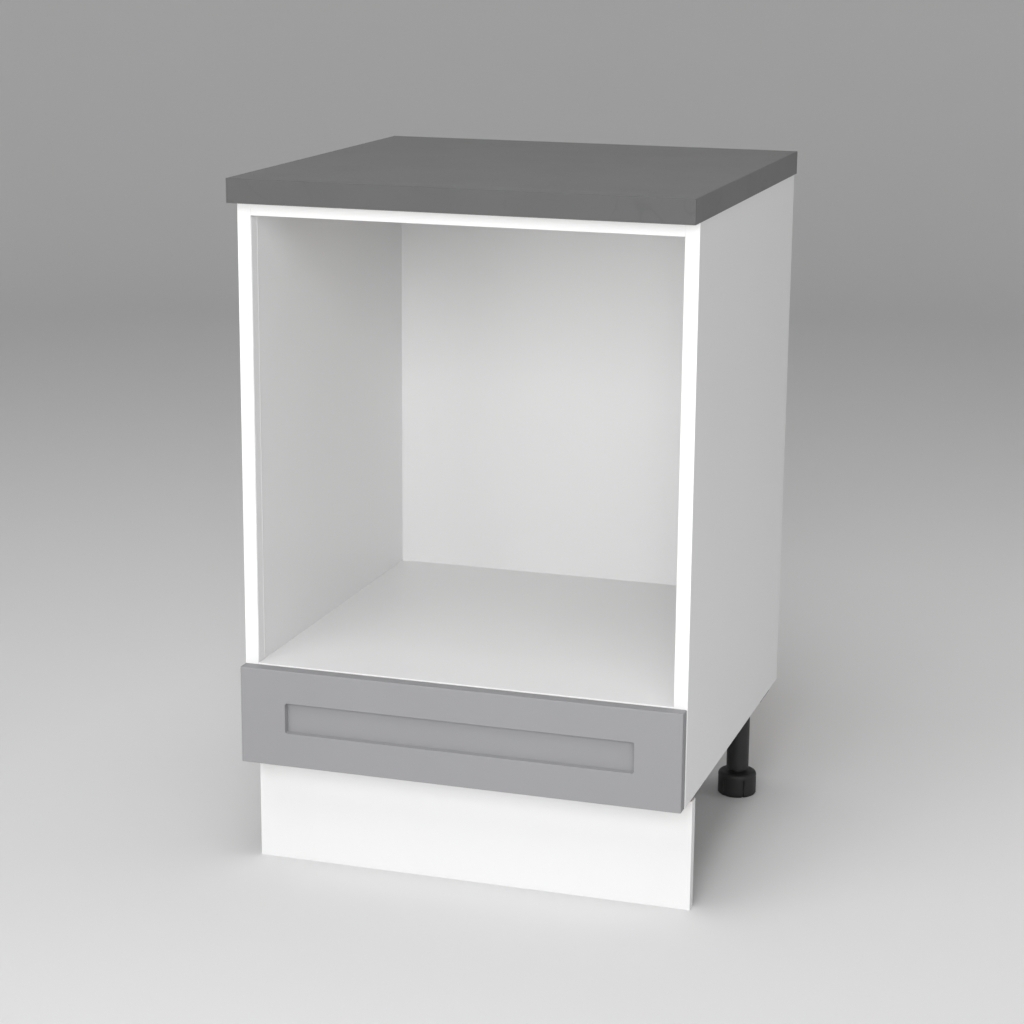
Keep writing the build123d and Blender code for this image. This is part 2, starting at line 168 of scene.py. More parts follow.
def facing(start):
    """Which way the piece's own surface looks, as three numbers."""
    return start.node("ShaderNodeTexCoord", output="Normal").axes()


def particleboard(at, squeeze):
    """Sawn particleboard: flat chips in several tans as stretched cells, with dark pits between them.

    squeeze is the pattern's scale on each axis, larger across the board's thickness.
    """
    laid = at.stretched(squeeze)
    chip = laid.cells(330.0).axes()[0]
    dust = laid.noise(900.0, 3.0, 0.7)
    pit = laid.noise(420.0, 2.0).fade(0.60, 0.68)
    tan = (chip * 0.6 + dust * 0.4).blend((0.30, 0.18, 0.09, 1.0), (0.62, 0.45, 0.27, 1.0))
    return pit.blend(tan, (0.13, 0.075, 0.04, 1.0)), chip * 0.4 - pit


def laminate(at, share):
    """Stone print: broad clouds, veins where a bent noise crosses its middle, spots and fine specks.

    share scales its lightness: the front strip's low share is painted shade, and the end strips' higher one
    painted sheen.
    """
    cloud = at.noise(11.0, 5.0, 0.55, 0.4).fade(0.30, 0.70)
    vein = 1.0 - abs(at.noise(6.5, 3.0, 0.55, 1.3) - 0.5).fade(0.0, 0.014)
    patch = at.noise(9.0, 2.0).fade(0.48, 0.64)
    spot = at.noise(70.0, 2.0, 0.5).fade(0.66, 0.74)
    speck = at.noise(900.0, 2.0, 0.6).fade(0.35, 0.65)
    base = (cloud * 0.35 + speck * 0.65).blend(grey(0.139 * share), grey(0.166 * share))
    return (vein * patch * 0.16 + spot * 0.14).blend(base, grey(0.060 * share)), speck


def strip_sockets(share):
    """A strip of the same print, with the fine grain of its press plate."""

    def build(start, at):
        colour, speck = laminate(at, share)
        grain = at.noise(1500.0, 2.0, 0.6)
        return {"Base Color": colour, "Roughness": 0.46 + speck * 0.10, "Normal": grain.relief(0.00003)}

    return build


def worktop_sockets(start, at):
    """Laminate above, grey liner paper below and bare particleboard at the back."""
    top, speck = laminate(at, 1.0)
    bare, height = particleboard(at, (1.0, 1.0, 2.6))
    x, y, z = facing(start)
    liner = at.noise(35.0, 4.0, 0.6).blend((0.55, 0.53, 0.50, 1.0), (0.62, 0.60, 0.57, 1.0))
    raw = y > 0.5
    colour = raw.blend((z < -0.5).blend(top, liner), bare)
    relief = (raw * height).relief(0.0002, at.noise(1500.0, 2.0, 0.6).relief(0.00003))
    return {"Base Color": colour, "Roughness": 0.46 + speck * 0.10 + raw * 0.35, "Normal": relief}


def shade_by_area(mesh):
    """Smooth shading with normals weighted by face area: the sum of each point's face normals, each
    times its face's area, so flat faces stay flat and narrow arrises shade round."""
    count = len(mesh.polygons)
    normal = np.empty(count * 3)
    area = np.empty(count)
    sides = np.empty(count, int)
    corner = np.empty(len(mesh.loops), int)
    mesh.polygons.foreach_get("normal", normal)
    mesh.polygons.foreach_get("area", area)
    mesh.polygons.foreach_get("loop_total", sides)
    mesh.loops.foreach_get("vertex_index", corner)
    total = np.zeros((len(mesh.vertices), 3))
    np.add.at(total, corner, np.repeat(normal.reshape(-1, 3) * area[:, None], sides, 0))
    total /= np.maximum(np.linalg.norm(total, axis=1, keepdims=True), 1e-12)
    mesh.shade_smooth()
    mesh.normals_split_custom_set_from_vertices(total.tolist())


def piece(name, shells, body, material, replaced=()):
    """One piece from closed shells, each a grid of points: place along the shell, place round it.

    Round is counter-clockwise seen from the shell's far end. Neighbouring points are joined by
    quads and each end is closed with a flat face. A shell given as ("ring", grid) has no ends: its
    last row joins its first.
    """
    points, faces, base = [], [], 0
    for shell in shells:
        looped = isinstance(shell, tuple)
        grid = shell[1] if looped else shell
        rows, round_count, _ = grid.shape
        index = base + np.arange(rows * round_count).reshape(rows, round_count)
        low = index if looped else index[:-1]
        high = np.roll(index, -1, 0) if looped else index[1:]
        quads = np.stack([low, np.roll(low, -1, 1), np.roll(high, -1, 1), high], -1)
        faces += quads.reshape(-1, 4).tolist()
        if not looped:
            faces += [index[0, ::-1].tolist(), index[-1].tolist()]
        points.append(grid.reshape(-1, 3))
        base += rows * round_count
    mesh = bpy.data.meshes.new(name)
    mesh.from_pydata(np.concatenate(points), [], faces)
    shade_by_area(mesh)
    mesh.materials.append(material)
    made = bpy.data.objects.new(name, mesh)
    bpy.context.scene.collection.objects.link(made)
    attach(made, body)
    if replaced:
        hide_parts(*replaced)
    return made


def board_shell(low, high, arris):
    """A board with all its edges eased, as rings of rounded rectangles stacked up Z.

    A ring drawn in by arris(1 - cos t) lies arris(1 - sin t) inside the end face, for t from 0 at the
    end to a quarter turn on the sides. Its outline is the corner centres plus the corner radius, less
    what it is drawn in, times (cos a, sin a).
    """
    low, high = np.array(low), np.array(high)
    centre, half = (low + high) / 2, (high - low) / 2
    corner = min(1.3 * arris, 0.49 * 2 * min(half[0], half[1]))
    turn = np.linspace(0.0, math.pi / 2, 6)
    drawn_in = arris * (1 - np.sin(turn))
    up = half[2] - arris * (1 - np.cos(turn))
    drawn_in = np.concatenate([drawn_in, drawn_in[::-1]])
    height = np.concatenate([-up, up[::-1]])
    return rounded_rings(centre, half[:2] - drawn_in[:, None], corner - drawn_in, height)


def rounded_rings(centre, halves, corners, heights):
    """Rings of rounded rectangles up Z, one for each half size, corner radius and height."""
    angle = np.linspace(0.0, math.pi / 2, 6)[None, :] + np.arange(4)[:, None] * math.pi / 2
    angle = angle.ravel()
    side_x = np.repeat([1, -1, -1, 1], 6)
    side_y = np.repeat([1, 1, -1, -1], 6)
    x = side_x * (halves[:, :1] - corners[:, None]) + corners[:, None] * np.cos(angle)
    y = side_y * (halves[:, 1:] - corners[:, None]) + corners[:, None] * np.sin(angle)
    z = np.broadcast_to(heights[:, None], x.shape)
    return centre + np.stack([x, y, z], -1)


def turned(profile, angles, place, axis=(0, 0, 1)):
    """A profile of (radius, height) turned round an axis through a place.

    The point at angle a is place + radius (cos a, sin a) across the axis + height along it. The
    radius may vary with the angle too, as a grid of profile place by angle.
    """
    radius, height = (np.asarray(part, float) for part in profile)
    if radius.ndim == 1:
        radius = np.broadcast_to(radius[:, None], (len(radius), len(angles)))
    axis = np.array(axis, float)
    first = np.roll(axis, 1)
    second = np.cross(axis, first)
    across = radius[..., None] * (np.cos(angles)[:, None] * first + np.sin(angles)[:, None] * second)
    return np.array(place) + across + height[:, None, None] * axis


def around(count):
    """Evenly spaced angles of one turn."""
    return np.arange(count) * 2 * math.pi / count


def screw_shell(head, shank, place, axis):
    """A pan-head screw with its point inside the board, and a cross recess in the head.

    head and shank are radii. Up the shank, out under the head, over a quarter-ellipse dome of the
    head's radius and about a third of it high. The recess is the dome lowered where either
    coordinate is small and the radius is too.
    """
    tip, taper, rim = -0.010, -0.007, 0.25
    dome = np.linspace(0.0, math.pi / 2, 12)[:-1]
    rise = 0.36 * head
    radius = np.concatenate([[0.25 * shank, shank, shank, 0.96 * head], head * np.cos(dome)])
    height = np.concatenate([[tip, taper, 0.0, 0.0], rise * (rim + (1 - rim) * np.sin(dome))])
    return crossed((radius, height), place, axis, 0.62 * head, 0.12 * head, 0.55 * rise)


def crossed(profile, place, axis, reach, half_width, depth):
    """A turned head with a cross pressed into it: its points above height zero are lowered by the
    depth where they lie within the reach and within half a width of either arm's middle."""
    radius, height = profile
    angles = around(48)
    near = np.minimum(abs(np.cos(angles)), abs(np.sin(angles)))
    off_arm = radius[:, None] * near[None]
    inside = (radius[:, None] < reach) & (off_arm < half_width) & (height[:, None] > 0)
    return turned(profile, angles, place, axis) - inside[..., None] * depth * np.array(axis, float)


def zinc_sockets(start, at):
    """Bright zinc: a fine brushed variation in how smooth it is, with a faint blue cast."""
    brush = at.noise(1800.0, 3.0, 0.6)
    return {
        "Base Color": at.noise(200.0, 2.0).blend((0.56, 0.57, 0.60, 1.0), (0.66, 0.67, 0.69, 1.0)),
        "Roughness": 0.26 + brush * 0.18,
        "Normal": brush.relief(0.00002),
    }


worktop_low, worktop_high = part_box("worktop")
strip_low, strip_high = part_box("worktop_edge_strips")
strip_arris = 0.0004
# Same laminate on every strip: the front strip darker than the top is painted shade, the end strips lighter
# than the front strip are painted sheen.
front_laminate_painted_shade = finish("laminate_front_strip_painted_shade", strip_sockets(0.565))
end_laminate_painted_sheen = finish("laminate_end_strip_painted_sheen", strip_sockets(0.96))
nodes["worktop"].data.materials.clear()
nodes["worktop"].data.materials.append(finish("laminate_board", worktop_sockets))
front_strip = board_shell(strip_low, (strip_high.x, worktop_low.y, strip_high.z), strip_arris)
strip_node = ["worktop_edge_strips"]
piece("worktop_front_strip", [front_strip], "cabinet", front_laminate_painted_shade, strip_node)
for side, x_low, x_high in (("left", strip_low.x, worktop_low.x), ("right", worktop_high.x, strip_high.x)):
    end_low, end_high = (x_low, worktop_low.y, strip_low.z), (x_high, strip_high.y, strip_high.z)
    shell = board_shell(end_low, end_high, strip_arris)
    piece("worktop_" + side + "_strip", [shell], "cabinet", end_laminate_painted_sheen, strip_node)
zinc = finish("zinc", zinc_sockets, Metallic=1.0)
front_rail_low, front_rail_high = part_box("top_rail_front")
rear_rail_low, rear_rail_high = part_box("top_rail_rear")
worktop_screw_radii, worktop_screw_across = (0.0040, 0.0020), 0.2
worktop_screws = []
for x in (-worktop_screw_across, worktop_screw_across):
    for rail_low, rail_high in ((front_rail_low, front_rail_high), (rear_rail_low, rear_rail_high)):
        place = (x, (rail_low.y + rail_high.y) / 2, rail_low.z)
        worktop_screws.append(screw_shell(*worktop_screw_radii, place, (0, 0, -1)))
piece("worktop_screws", worktop_screws, "cabinet", zinc)


# Carcass: particleboard sides, bottom, niche floor and top rails, faced with white melamine and
# joined with glued beech dowels. Rear and hidden edges are left bare, as they come from the saw.


def white_face(at):
    """Pressed white melamine: nearly even, with a faint cloud and the press plate's fine orange peel."""
    cloud = at.noise(5.0, 2.0)
    peel = at.noise(650.0, 2.0, 0.5)
    return cloud.blend(grey(0.785), grey(0.805)), cloud, peel


def board_sockets(bare_edges, squeeze):
    """White melamine, with bare particleboard where bare_edges(x, y, z) of the facing is one."""

    def build(start, at):
        colour, cloud, peel = white_face(at)
        bare, height = particleboard(at, squeeze)
        raw = bare_edges(*facing(start))
        surface = (raw * height).relief(0.00025, peel.relief(0.00002))
        return {
            "Base Color": raw.blend(colour, bare),
            "Roughness": 0.34 + cloud * 0.08 + raw * 0.45,
            "Normal": surface,
        }

    return build


def dress(material, *names):
    """Gives CAD nodes a material."""
    for name in names:
        nodes[name].data.materials.clear()
        nodes[name].data.materials.append(material)


def bare_rear_and_ends(x, y, z):
    return (y > 0.5).either(abs(z) > 0.5)


def bare_rear(x, y, z):
    return y > 0.5


standing_board = finish("white_melamine_standing", board_sockets(bare_rear_and_ends, (2.6, 1.0, 1.0)))
lying_board = finish("white_melamine_lying", board_sockets(bare_rear, (1.0, 1.0, 2.6)))
dress(standing_board, "side_panel_left", "side_panel_right")
dress(lying_board, "bottom_panel", "niche_floor", "top_rail_front", "top_rail_rear")


def beech_sockets(start, at):
    """Beech: fine pores drawn out along the dowel, over soft pink-brown bands."""
    grain = at.stretched((0.12, 1.0, 1.0)).noise(900.0, 3.0, 0.6)
    return {
        "Base Color": grain.blend((0.50, 0.31, 0.17, 1.0), (0.72, 0.52, 0.34, 1.0)),
        "Roughness": 0.55 + grain * 0.2,
        "Normal": grain.relief(0.0001),
    }


dress(finish("beech", beech_sockets), "carcass_dowels", "drawer_dowels")


# Edging: 1 mm white plastic bands, hot-glued to the front edges of the boards, scraped to a small
# round and polished. The two upright ones run full height and the others fit between them.


def edging_sockets(start, at):
    """Polished white plastic with the faint ripple that the scraper leaves along the edge."""
    ripple = at.noise(300.0, 2.0)
    return {
        "Base Color": at.noise(12.0, 2.0).blend(grey(0.855), grey(0.875)),
        "Roughness": 0.26 + ripple * 0.10,
        "Normal": ripple.relief(0.00003),
    }


band_low, band_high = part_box("edge_bands")
panel_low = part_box("side_panel_right")[0]
edging_finish = finish("white_edging", edging_sockets)
band_arris = 0.00035
band_places = {
    "edging_left": (band_low.x, -panel_low.x, band_low.z, band_high.z),
    "edging_right": (panel_low.x, band_high.x, band_low.z, band_high.z),
}
for name, board in (("bottom", "bottom_panel"), ("niche_floor", "niche_floor"), ("rail", "top_rail_front")):
    board_low, board_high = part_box(board)
    band_places["edging_" + name] = (board_low.x, board_high.x, board_low.z, board_high.z)
for name, (x_low, x_high, z_low, z_high) in band_places.items():
    shell = board_shell((x_low, band_low.y, z_low), (x_high, band_high.y, z_high), band_arris)
    piece(name, [shell], "cabinet", edging_finish, ["edge_bands"])


# Back panel: 3 mm hardboard, white lacquer on the face that shows in the niche and bare brown fibre
# behind, slid into the grooves of the sides and the bottom, and screwed to the niche floor and rail.


def hardboard_sockets(shown_face):
    """White lacquer where shown_face(x, y, z) of the facing is one; brown pressed fibre elsewhere,
    with the print of the woven wire that it was pressed on."""

    def build(start, at):
        colour, cloud, peel = white_face(at)
        fibre = at.noise(240.0, 4.0, 0.65)
        wire = at.stretched((1.0, 1.0, 1.6)).cells(420.0, "Distance")
        bare = 1.0 - shown_face(*facing(start))
        brown = fibre.blend((0.22, 0.130, 0.070, 1.0), (0.38, 0.245, 0.145, 1.0))
        return {
            "Base Color": bare.blend(colour, brown),
            "Roughness": 0.36 + cloud * 0.08 + bare * 0.40,
            "Normal": (bare * wire).relief(0.0002, peel.relief(0.00002)),
        }

    return build


def front_face(x, y, z):
    return y < -0.5


dress(finish("white_hardboard", hardboard_sockets(front_face)), "back_panel")
panel_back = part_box("back_panel")[1].y
panel_screw_radii, panel_screws_across = (0.0032, 0.0016), (-0.21, -0.07, 0.07, 0.21)
panel_screws = []
for x in panel_screws_across:
    for board in ("niche_floor", "top_rail_rear"):
        board_low, board_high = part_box(board)
        place = (x, panel_back, (board_low.z + board_high.z) / 2)
        panel_screws.append(screw_shell(*panel_screw_radii, place, (0, 1, 0)))
piece("back_panel_screws", panel_screws, "cabinet", zinc)


# Heat guards: white strips that shield the edging from the oven, stuck to the inner faces of the
# sides just behind the front edge, each with a raised bead along its rear edge.


def carried(section, axis, places):
    """A closed flat section carried straight along an axis (1 for Y, 2 for Z) through the given places.

    The section's two columns are the other two coordinates in order. It is turned round where its
    signed area shows that it runs clockwise seen from the axis's far end.
    """
    u, v = section.T
    area = np.sum(u * np.roll(v, -1) - v * np.roll(u, -1)) * (1 if axis == 2 else -1)
    section = section if area > 0 else section[::-1]
    places = np.asarray(places, float)
    grid = np.broadcast_to(section, (len(places),) + section.shape)
    along = np.broadcast_to(places[:, None, None], grid.shape[:2] + (1,))
    return np.concatenate([grid[..., :axis], along, grid[..., axis:]], -1)


def guard_shell(side):
    """A guard's section up the side panel: its thickness is a quarter circle over the front edge, level
    over the flat, and one raised cosine over the bead."""
    low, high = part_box("heat_guard_" + side)
    full = high.x - low.x
    flat, front, flat_end, bead_start = 0.55 * full, 0.03, 0.82, 0.84
    share = np.concatenate([np.linspace(0.0, front, 6), np.linspace(flat_end, 1.0, 15)])
    rise = flat * np.sqrt(np.clip(1 - (1 - share / front) ** 2, 0.02, 1))
    over_bead = np.clip((share - bead_start) / (1 - bead_start), 0, 1)
    bead = (full - flat) * 0.5 * (1 - np.cos(2 * math.pi * over_bead))
    thick = np.where(share <= front, rise, flat + bead)
    wall, inward = (high.x, -1) if side == "right" else (low.x, 1)
    depth = low.y + share * (high.y - low.y)
    face = np.stack([wall + inward * thick, depth], -1)
    return carried(np.concatenate([face, [[wall, high.y], [wall, low.y]]]), 2, [low.z, high.z])


def moulded_white_sockets(start, at):
    """Satin white plastic with a very fine moulded grain."""
    grain = at.noise(1300.0, 2.0, 0.6)
    return {
        "Base Color": at.noise(20.0, 2.0).blend(grey(0.80), grey(0.82)),
        "Roughness": 0.36 + grain * 0.12,
        "Normal": grain.relief(0.00002),
    }


guard_finish = finish("white_guard", moulded_white_sockets)
for side in ("left", "right"):
    guard = "heat_guard_" + side
    piece("guard_" + side, [guard_shell(side)], "cabinet", guard_finish, [guard])


# Legs: black moulded plastic. A square plate with a ribbed socket is screwed under the bottom panel,
# a tube is pushed into the socket, and a foot with a threaded stem screws in and out of the tube.


def black_plastic_sockets(share):
    """Satin black plastic, its depth of black set by the share: moulded grain and slight flow marks."""

    def build(start, at):
        grain = at.noise(900.0, 3.0, 0.6)
        flow = at.stretched((1.0, 1.0, 0.25)).noise(60.0, 3.0)
        return {
            "Base Color": flow.blend(grey(0.009 * share), grey(0.014 * share)),
            "Roughness": 0.46 + grain * 0.16,
            "Normal": grain.relief(0.00006),
        }

    return build


plate_thickness = 0.004


def plate_shells(low, high, x, y):
    """Plate: a rounded square with eased edges, the socket's wall turned round, and four ribs, each a
    triangle carried across its thickness."""
    top, flat = high.z, high.z - plate_thickness
    half, corner, ease = (high.x - low.x) / 2, 0.008, 0.0006
    quarter = np.linspace(0.0, math.pi / 2, 5)
    drawn_in = np.concatenate([ease * (1 - np.sin(quarter)), ease * (1 - np.cos(quarter))])
    rise = np.concatenate([flat + ease * (1 - np.cos(quarter)), top - ease * (1 - np.sin(quarter))])
    shells = [rounded_rings((x, y, 0), half - np.stack([drawn_in, drawn_in], -1), corner - drawn_in, rise)]
    inner, outer, mouth, sunk = 0.01605, 0.01905, low.z, flat + 0.0002
    radius = [inner + ease, outer - ease, outer, outer + ease, inner, inner]
    height = [mouth, mouth, mouth + ease, sunk, sunk, mouth + ease]
    shells.append(("ring", turned((radius, height), around(72), (x, y, 0))))
    root, reach, drop, half_thick = 0.0175, 0.028, 0.016, 0.00125
    rib = np.array([(root, flat), (reach, flat), (reach, flat - ease), (root, flat - drop)])
    for turn in range(4):
        bar = carried(rib, 1, [-half_thick, half_thick])
        c, s = math.cos(turn * math.pi / 2), math.sin(turn * math.pi / 2)
        out, across, up = bar[..., 0], bar[..., 1], bar[..., 2]
        shells.append(np.stack([x + out * c - across * s, y + out * s + across * c, up], -1))
    return shells


def foot_shell(low, high, x, y):
    """Foot: a small bevel, a straight wall with six notches, a rounded shoulder, and the stem.

    Wall radius R less the notch depth where the angle is within a notch and the height below its
    top. The shoulder is a quarter circle, and the stem carries a thread as a cosine of its height.
    """
    wall, base, stem_top = (high.x - low.x) / 2, low.z, high.z - low.z
    bevel, shoulder, foot_top = 0.0018, 0.005, 0.034
    notch_count, notch_half, notch_depth, notch_top, foot_turn = 6, 0.0015 / wall, 0.0020, 0.026, -58
    quarter = np.linspace(0.0, math.pi / 2, 9)
    wall_heights = np.array([0.004, 0.010, 0.018, notch_top - 0.0002, notch_top + 0.0002, 0.0276])
    wall_rows = np.stack([np.full(6, wall), wall_heights], -1)
    over_radius = wall - shoulder * (1 - np.cos(quarter))
    over = np.stack([over_radius, foot_top - shoulder * (1 - np.sin(quarter))], -1)
    stem, fillet, pitch, thread_depth = 0.01195, 0.001, 0.004, 0.0007
    thread = foot_top + np.linspace(0.002, 0.046, 89)
    coil = stem - thread_depth * (0.5 - 0.5 * np.cos(2 * math.pi * (thread - foot_top) / pitch))
    under = [(wall * 0.3, 0.0), (wall - bevel, 0.0), (wall, bevel)]
    root = [(stem + fillet, foot_top), (stem, foot_top + fillet)]
    end = [(stem - 0.0012, stem_top), (0.004, stem_top)]
    outer = np.concatenate([under, wall_rows, over, root, np.stack([coil, thread], -1), end])
    edge = np.array([-1.25, -1.0, -0.8, 0.8, 1.0, 1.25]) * notch_half
    step, margin = 2 * math.pi / notch_count, 0.09
    plain = np.linspace(margin, step - margin, 12)
    angles = (np.arange(notch_count)[:, None] * step + np.concatenate([edge, plain])[None]).ravel()
    cut = np.tile(np.concatenate([[0, 0, 1, 1, 0, 0], np.zeros(12)]), notch_count)
    deep = ((outer[:, 1] < notch_top) & (outer[:, 0] > wall * 0.5)) * notch_depth
    radius = outer[:, :1] - deep[:, None] * cut[None]
    return turned((radius, outer[:, 1] + base), angles + math.radians(foot_turn), (x, y, 0))


def tube_shell(low, high, x, y):
    """Tube: its wall's section with eased ends, turned round; the inner wall goes back down."""
    outer, inner, ease = (high.x - low.x) / 2, 0.0120, 0.0006
    radius = [inner + ease, outer - ease, outer, outer, outer - ease, inner + ease, inner, inner]
    height = [low.z, low.z, low.z + ease, high.z - ease, high.z, high.z, high.z - ease, low.z + ease]
    return ("ring", turned((radius, height), around(72), (x, y, 0)))


black_plastic = finish("black_plastic", black_plastic_sockets(1.0))
tube_plastic = finish("tube_plastic", black_plastic_sockets(1.5))
plate_screw_radii, plate_screw_off = (0.0038, 0.0018), 0.027
plate_screws = []
for corner in ("front_left", "front_right", "rear_left", "rear_right"):
    plate, tube, foot = ("leg_" + part + "_" + corner for part in ("plate", "tube", "foot"))
    plate_low, plate_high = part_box(plate)
    tube_low, tube_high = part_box(tube)
    leg_x, leg_y = (tube_low.x + tube_high.x) / 2, (tube_low.y + tube_high.y) / 2
    tube_made = tube_shell(tube_low, tube_high, leg_x, leg_y)
    piece("tube_" + corner, [tube_made], "cabinet", tube_plastic, [tube])
    foot_low, foot_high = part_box(foot)
    foot_made = foot_shell(foot_low, foot_high, leg_x, leg_y)
    piece("foot_" + corner, [foot_made], foot + "_body", black_plastic, [foot])
    plate_made = plate_shells(plate_low, plate_high, leg_x, leg_y)
    piece("plate_" + corner, plate_made, "cabinet", black_plastic, [plate])
    screw_z = plate_high.z - plate_thickness
    for x in (leg_x - plate_screw_off, leg_x + plate_screw_off):
        for y in (leg_y - plate_screw_off, leg_y + plate_screw_off):
            plate_screws.append(screw_shell(*plate_screw_radii, (x, y, screw_z), (0, 0, -1)))
piece("leg_plate_screws", plate_screws, "cabinet", zinc)


# Runners: two members a side, folded from steel sheet and coated white. The drawer's rear roller
# runs inside the cabinet's track and the cabinet's front roller carries the drawer's upper flange.
# Nylon rollers turn on riveted pins, and flat-head screws hold the members.


def coated_steel_sockets(start, at):
    """White powder coat: fine orange peel over the sheet, a little cream in it."""
    peel = at.noise(420.0, 2.0, 0.5)
    return {
        "Base Color": at.noise(30.0, 2.0).blend((0.785, 0.770, 0.740, 1.0), (0.815, 0.800, 0.772, 1.0)),
        "Roughness": 0.30 + peel * 0.12,
        "Normal": peel.relief(0.00006),
    }


def nylon_sockets(start, at):
    """Natural nylon: milky, with fine turning marks as rings of noise."""
    marks = at.noise(1200.0, 2.0)
    return {
        "Base Color": at.noise(150.0, 2.0).blend((0.66, 0.65, 0.60, 1.0), (0.74, 0.73, 0.69, 1.0)),
        "Roughness": 0.38 + marks * 0.14,
        "Normal": marks.relief(0.00003),
    }


def roller_shell(node):
    """Roller: rounded tread, a dished face each side inside its rim, and a hub round the bore."""
    low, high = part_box(node)
    radius, half = (high.z - low.z) / 2, (high.x - low.x) / 2
    ease, rim, slope, hub, bore = 0.0006, 0.0016, 0.0003, 0.0038, 0.00205
    dish, hub_face, countersink = half - 0.0014, half - 0.0002, half - 0.0005
    quarter = np.linspace(0.0, math.pi / 2, 5)
    tread_r = radius - ease * (1 - np.cos(quarter))
    tread_h = half - ease * (1 - np.sin(quarter))
    face_r = np.array([radius - rim, radius - rim - slope, hub + 0.0004, hub, 0.0024, bore])
    face_h = np.array([half, dish, dish, hub_face, hub_face, countersink])
    up_r, up_h = np.concatenate([tread_r, face_r]), np.concatenate([tread_h, face_h])
    profile = (np.concatenate([up_r[::-1], up_r]), np.concatenate([-up_h[::-1], up_h]))
    return ("ring", turned(profile, around(64), (low + high) / 2, (1, 0, 0)))


def pin_shell(place, axis):
    """Pin: a shoulder off the sheet, the axle through the roller, and a head peened to a dome."""
    shoulder, axle, head = 0.0034, 0.0020, 0.0033
    shoulder_end, axle_end, rim, rise = 0.0028, 0.0097, 0.0002, 0.0007
    dome = np.linspace(0.0, math.pi / 2, 7)[:-1]
    radius = np.concatenate([[0.0010, shoulder, shoulder, axle, axle, 0.0030], head * np.cos(dome)])
    steps = [0, 0, shoulder_end, shoulder_end, axle_end, axle_end]
    height = np.concatenate([steps, axle_end + rim + rise * np.sin(dome)])
    return turned((radius, height), around(48), place, axis)


def folded(path, bends, sheet):
    """A sheet's section along a path of (across, up) points, with the sheet on the path's left.

    At each corner the centre lies at radius / cos(half turn) along the corner's bisector, and both
    faces are arcs about it, their radii a sheet's thickness apart.
    """
    path = np.array(path)
    step = np.diff(path, axis=0)
    step /= np.linalg.norm(step, axis=1, keepdims=True)
    left = np.stack([-step[:, 1], step[:, 0]], -1)
    near, far = [path[:1]], [path[:1] + sheet * left[:1]]
    for corner, before, after, radius in zip(path[1:-1], left[:-1], left[1:], bends):
        hand = math.copysign(1.0, before[0] * after[1] - before[1] * after[0])
        centre = corner + hand * radius * (before + after) / (1 + before @ after)
        share = np.linspace(0.0, 1.0, 7)[:, None] * math.pi / 2
        spoke = -hand * (before * np.cos(share) + after * np.sin(share))
        near.append(centre + radius * spoke)
        far.append(centre + (radius - hand * sheet) * spoke)
    near.append(path[-1:])
    far.append(path[-1:] + sheet * left[-1:])
    return np.concatenate(near + [np.concatenate(far)[::-1]])


def flat_screw_shell(place, axis):
    """A flat-head screw in a countersink: a cone up to the head, half a millimetre proud at most."""
    shank, head = 0.0018, 0.0037
    radius = [0.0005, shank, shank, head - 0.0001, head, head - 0.0001, 0.0026, 0.0018, 0.0011, 0.0005]
    height = [-0.010, -0.007, -0.0016, 0.0, 0.0002, 0.0004, 0.00045, 0.00047, 0.00048, 0.00048]
    return crossed((np.array(radius), np.array(height)), place, axis, 0.0024, 0.0005, 0.0011)


def track_shells(side):
    """The cabinet's member: a channel, its upper lip cut back at the front where the drawer's roller
    drops in, and the stop tab up from its floor."""
    low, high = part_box("cabinet_track_" + side)
    path = [(low.x, low.z), (high.x, low.z), (high.x, high.z), (low.x, high.z)]
    if side == "left":
        path = [(high.x, high.z), (low.x, high.z), (low.x, low.z), (high.x, low.z)]
    section = folded(path, (bend_inside + sheet,) * 2, sheet)
    notch, slant, lip_kept, lip_depth = low.y + 0.022, 0.0003, 0.0021, 0.0019
    grid = carried(section, 1, [low.y, notch, notch + slant, high.y])
    kept = (high.x - lip_kept) if side == "right" else (low.x + lip_kept)
    cut_back = (np.arange(4)[:, None] < 2) & (grid[..., 2] > high.z - lip_depth)
    clip = np.maximum if side == "right" else np.minimum
    across = np.where(cut_back, clip(grid[..., 0], kept), grid[..., 0])
    grid = np.concatenate([across[..., None], grid[..., 1:]], -1)
    tab_back, tab_sunk, tab_rise, tab_gap = -0.1666, 0.0006, 0.0062, 0.002
    tab_x = (low.x, high.x - tab_gap) if side == "right" else (low.x + tab_gap, high.x)
    tab_low = (tab_x[0], tab_back - sheet, low.z + tab_sunk)
    return [grid, board_shell(tab_low, (tab_x[1], tab_back, low.z + tab_rise), 0.0002)]


def slide_shell(side):
    """The drawer's member: a flange under the drawer side, a web beside it and a flange outwards."""
    low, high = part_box("drawer_slide_" + side)
    sign, near, far = (1, low.x, high.x) if side == "right" else (-1, high.x, low.x)
    web = sign * (drawer_outer + sheet)
    path = [(near, low.z), (web, low.z), (web, high.z - sheet), (far, high.z - sheet)]
    bends = [bend_inside + sheet, bend_inside]
    if side == "left":
        path, bends = path[::-1], bends[::-1]
    return carried(folded(path, bends, sheet), 1, [low.y, high.y])


